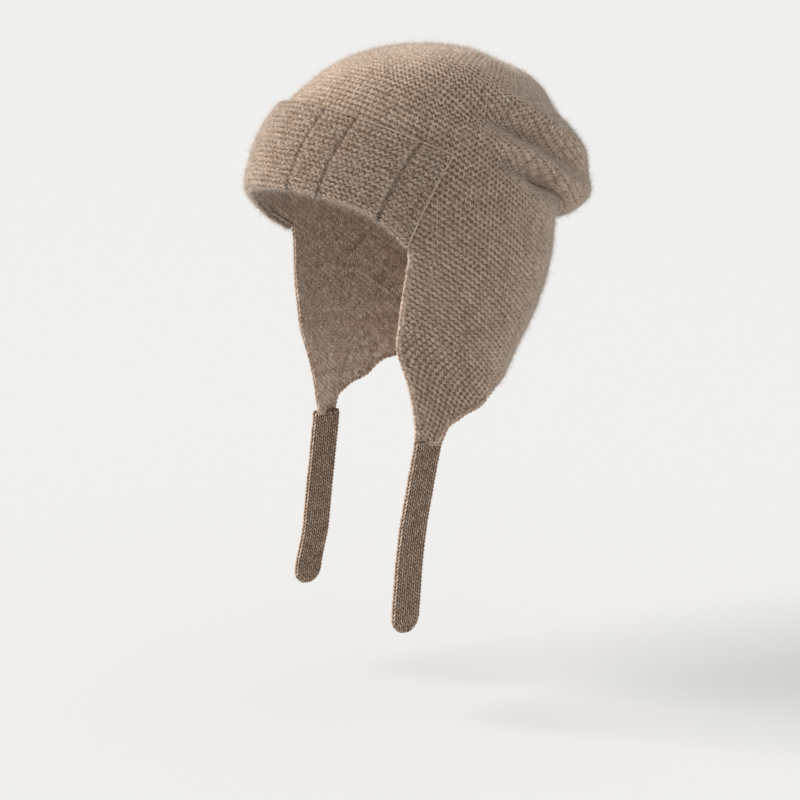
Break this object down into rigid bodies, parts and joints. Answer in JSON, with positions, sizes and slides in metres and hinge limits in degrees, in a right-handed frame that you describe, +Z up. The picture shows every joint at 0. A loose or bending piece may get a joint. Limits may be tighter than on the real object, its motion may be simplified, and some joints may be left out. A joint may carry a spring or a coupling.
{
  "type": "knitted aviator hat",
  "caption": "Soft knitted hat with ear flaps, a turned-up front band with sunk ribs, a slouched back and flat hanging ties.",
  "frame": {"origin": "middle of the head opening at the height of the brow, where a head fills the hat", "axes": "front of the hat faces -Y, the wearer's left is +X, +Z is up"},
  "size_m": [0.1686, 0.2404, 0.3662],
  "materials": {
    "body_knit": "brushed wool knit, purl side out",
    "band_knit": "brushed wool knit, purl side out",
    "tie_knit": "fine wool knit, plain stitches"
  },
  "bodies": {
    "root": {"crown_and_flaps": "body_knit", "turned_up_brim": "band_knit", "tie_left": "tie_knit", "tie_right": "tie_knit"}
  },
  "joints": []
}
